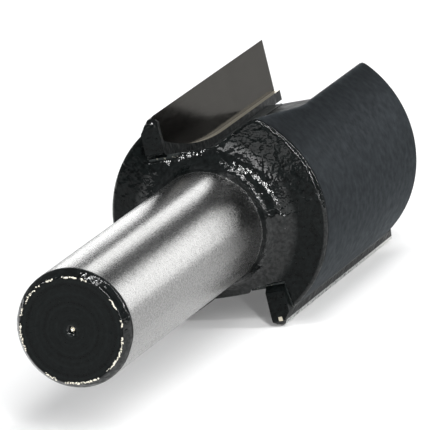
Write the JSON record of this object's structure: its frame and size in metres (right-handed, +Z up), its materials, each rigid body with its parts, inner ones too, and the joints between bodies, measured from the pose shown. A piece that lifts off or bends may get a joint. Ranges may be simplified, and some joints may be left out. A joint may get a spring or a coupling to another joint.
{
  "type": "straight router bit",
  "caption": "Straight router bit with a plain round shank, milled gullets and brazed carbide cutting edges along the head, lying on its side as it comes to rest.",
  "frame": {"origin": "on the surface that the bit lies on, under the axis at half of the overall length", "axes": "+Y along the axis from the shank end to the cutting end, +Z up from the surface, +X to the right seen from the shank end"},
  "size_m": [0.0232, 0.0746, 0.0215],
  "materials": {
    "steel_body": "gloss black enamel, with a bare ground shank",
    "carbide": "ground",
    "braze": "satin"
  },
  "bodies": {
    "root": {"steel_body": "steel_body", "carbide_tip_1": "carbide", "carbide_tip_2": "carbide", "braze_1": "braze", "braze_2": "braze"}
  },
  "joints": []
}
